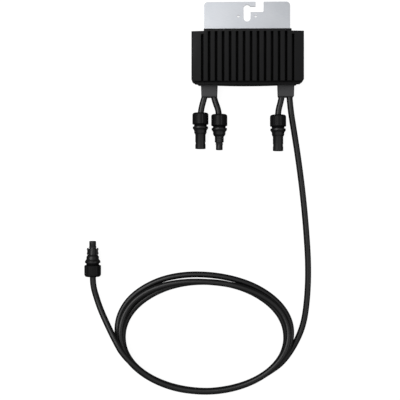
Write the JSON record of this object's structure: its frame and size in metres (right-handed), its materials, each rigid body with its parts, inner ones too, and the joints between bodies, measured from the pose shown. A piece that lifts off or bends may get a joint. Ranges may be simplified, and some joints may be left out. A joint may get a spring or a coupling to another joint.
{
  "type": "solar power optimizer",
  "caption": "Finned black module-level DC power optimizer on a slotted steel bracket, with short input and output leads, locking cable connectors and a long coiled lead.",
  "frame": {"origin": "middle of the case's width and length, on the mounting bracket's back face", "axes": "+X along the case's long side, +Y towards the bracket's slotted end, +Z out of the back face towards the cooling ribs; the leads leave towards -Y"},
  "size_m": [0.3472, 0.6032, 0.045],
  "materials": {
    "cover_black": "die-cast, matt black powder coat",
    "tray_black": "die-cast, matt black powder coat",
    "gasket_rubber": "matt",
    "bracket_metal": "plain stainless sheet, satin",
    "rivet_metal": "satin",
    "screw_steel": "zinc plated",
    "relief_black": "moulded, matt",
    "cable_jacket": "extruded black jacket, soft sheen",
    "board_green": "solder mask, semi-gloss",
    "clear_film": "amber film",
    "chip_black": "moulded epoxy",
    "pad_grey": "soft, matt",
    "ferrite_grey": "sintered, matt",
    "winding_copper": "enamelled copper, gloss",
    "film_capacitor": "moulded box, semi-gloss",
    "can_capacitor": "can in a dark sleeve",
    "choke_green": "coated core with enamelled wire",
    "fuse_glass": "clear tube with bright caps",
    "post_brass": "machined",
    "connector_black": "moulded, fine satin",
    "contact_tin": "tin-plated copper alloy",
    "clamp_grey": "moulded, matt",
    "seal_rubber": "silicone, matt"
  },
  "bodies": {
    "optimizer": {"base_tray": "tray_black", "board_fuse": "fuse_glass", "board_screws": "screw_steel", "bracket_rivets": "rivet_metal", "bypass_diode": "chip_black", "case_gasket": "gasket_rubber", "circuit_board": "board_green", "comms_transformer": "ferrite_grey", "controller_chip": "chip_black", "cover_screws": "screw_steel", "current_shunt": "screw_steel", "heatsink_cover": "cover_black", "inductor_core": "ferrite_grey", "inductor_winding": "winding_copper", "input_capacitors": "film_capacitor", "input_inner_leads": "cable_jacket", "input_plug_body": "connector_black", "input_plug_cable": "cable_jacket", "input_plug_cable_seal": "seal_rubber", "input_plug_contact_tube": "contact_tin", "input_plug_o_ring": "seal_rubber", "input_socket_cable": "cable_jacket", "input_socket_cable_seal": "seal_rubber", "input_socket_contact_pin": "contact_tin", "input_socket_shell": "connector_black", "input_strain_relief": "relief_black", "insulation_sheet": "clear_film", "line_filter_choke": "choke_green", "mounting_bracket": "bracket_metal", "output_capacitors": "can_capacitor", "output_coil": "cable_jacket", "output_inner_leads": "cable_jacket", "output_lead_run": "cable_jacket", "output_plug_body": "connector_black", "output_plug_cable_seal": "seal_rubber", "output_plug_contact_tube": "contact_tin", "output_plug_o_ring": "seal_rubber", "output_socket_cable": "cable_jacket", "output_socket_cable_seal": "seal_rubber", "output_socket_contact_pin": "contact_tin", "output_socket_shell": "connector_black", "output_strain_relief": "relief_black", "output_tail_run": "cable_jacket", "switching_transistors": "chip_black", "terminal_posts": "post_brass", "thermal_pads": "pad_grey"},
    "input_socket_ring_part": {"input_socket_clamp_ring": "clamp_grey"},
    "input_socket_nut_part": {"input_socket_cap_nut": "connector_black"},
    "input_plug_ring_part": {"input_plug_clamp_ring": "clamp_grey"},
    "input_plug_nut_part": {"input_plug_cap_nut": "connector_black"},
    "output_socket_ring_part": {"output_socket_clamp_ring": "clamp_grey"},
    "output_socket_nut_part": {"output_socket_cap_nut": "connector_black"},
    "output_plug_ring_part": {"output_plug_clamp_ring": "clamp_grey"},
    "output_plug_nut_part": {"output_plug_cap_nut": "connector_black"},
    "input_plug_latch_one_part": {"input_plug_latch_one": "connector_black"},
    "input_plug_latch_two_part": {"input_plug_latch_two": "connector_black"},
    "output_plug_latch_one_part": {"output_plug_latch_one": "connector_black"},
    "output_plug_latch_two_part": {"output_plug_latch_two": "connector_black"}
  },
  "joints": [
    {"name": "input_socket_ring_slide", "type": "slide", "parent": "optimizer", "child": "input_socket_ring_part", "axis": [0, 1, 0], "range_m": [0, 0.003]},
    {"name": "input_socket_nut_turn", "type": "hinge", "parent": "input_socket_ring_part", "child": "input_socket_nut_part", "pos_m": [-0.0713, -0.0831, 0.013], "axis": [0, 1, 0], "range_deg": [0, 720]},
    {"name": "input_plug_ring_slide", "type": "slide", "parent": "optimizer", "child": "input_plug_ring_part", "axis": [0, 1, 0], "range_m": [0, 0.003]},
    {"name": "input_plug_nut_turn", "type": "hinge", "parent": "input_plug_ring_part", "child": "input_plug_nut_part", "pos_m": [-0.04255, -0.0854, 0.013], "axis": [0, 1, 0], "range_deg": [0, 720]},
    {"name": "output_socket_ring_slide", "type": "slide", "parent": "optimizer", "child": "output_socket_ring_part", "axis": [0, 1, 0], "range_m": [0, 0.003]},
    {"name": "output_socket_nut_turn", "type": "hinge", "parent": "output_socket_ring_part", "child": "output_socket_nut_part", "pos_m": [0.0469, -0.0865, 0.013], "axis": [0, 1, 0], "range_deg": [0, 720]},
    {"name": "output_plug_ring_slide", "type": "slide", "parent": "optimizer", "child": "output_plug_ring_part", "axis": [0, -1, 0], "range_m": [0, 0.003]},
    {"name": "output_plug_nut_turn", "type": "hinge", "parent": "output_plug_ring_part", "child": "output_plug_nut_part", "pos_m": [-0.2363, -0.3333, 0.013], "axis": [0, -1, 0], "range_deg": [0, 720]},
    {"name": "input_plug_latch_one_flex", "type": "hinge", "parent": "optimizer", "child": "input_plug_latch_one_part", "pos_m": [-0.04255, -0.12, 0.02055], "axis": [1, 0, 0], "range_deg": [0, 9], "stiffness_Nm_per_rad": 0.1},
    {"name": "input_plug_latch_two_flex", "type": "hinge", "parent": "optimizer", "child": "input_plug_latch_two_part", "pos_m": [-0.04255, -0.12, 0.00545], "axis": [-1, 0, 0], "range_deg": [0, 9], "stiffness_Nm_per_rad": 0.1},
    {"name": "output_plug_latch_one_flex", "type": "hinge", "parent": "optimizer", "child": "output_plug_latch_one_part", "pos_m": [-0.24385, -0.2987, 0.013], "axis": [0, 0, -1], "range_deg": [0, 9], "stiffness_Nm_per_rad": 0.1},
    {"name": "output_plug_latch_two_flex", "type": "hinge", "parent": "optimizer", "child": "output_plug_latch_two_part", "pos_m": [-0.22875, -0.2987, 0.013], "axis": [0, 0, 1], "range_deg": [0, 9], "stiffness_Nm_per_rad": 0.1}
  ],
  "couplings": [
    {"joint": "input_socket_nut_turn", "follows": "input_socket_ring_slide", "rad_per_m": 4188.8},
    {"joint": "input_plug_nut_turn", "follows": "input_plug_ring_slide", "rad_per_m": 4188.8},
    {"joint": "output_socket_nut_turn", "follows": "output_socket_ring_slide", "rad_per_m": 4188.8},
    {"joint": "output_plug_nut_turn", "follows": "output_plug_ring_slide", "rad_per_m": 4188.8}
  ]
}
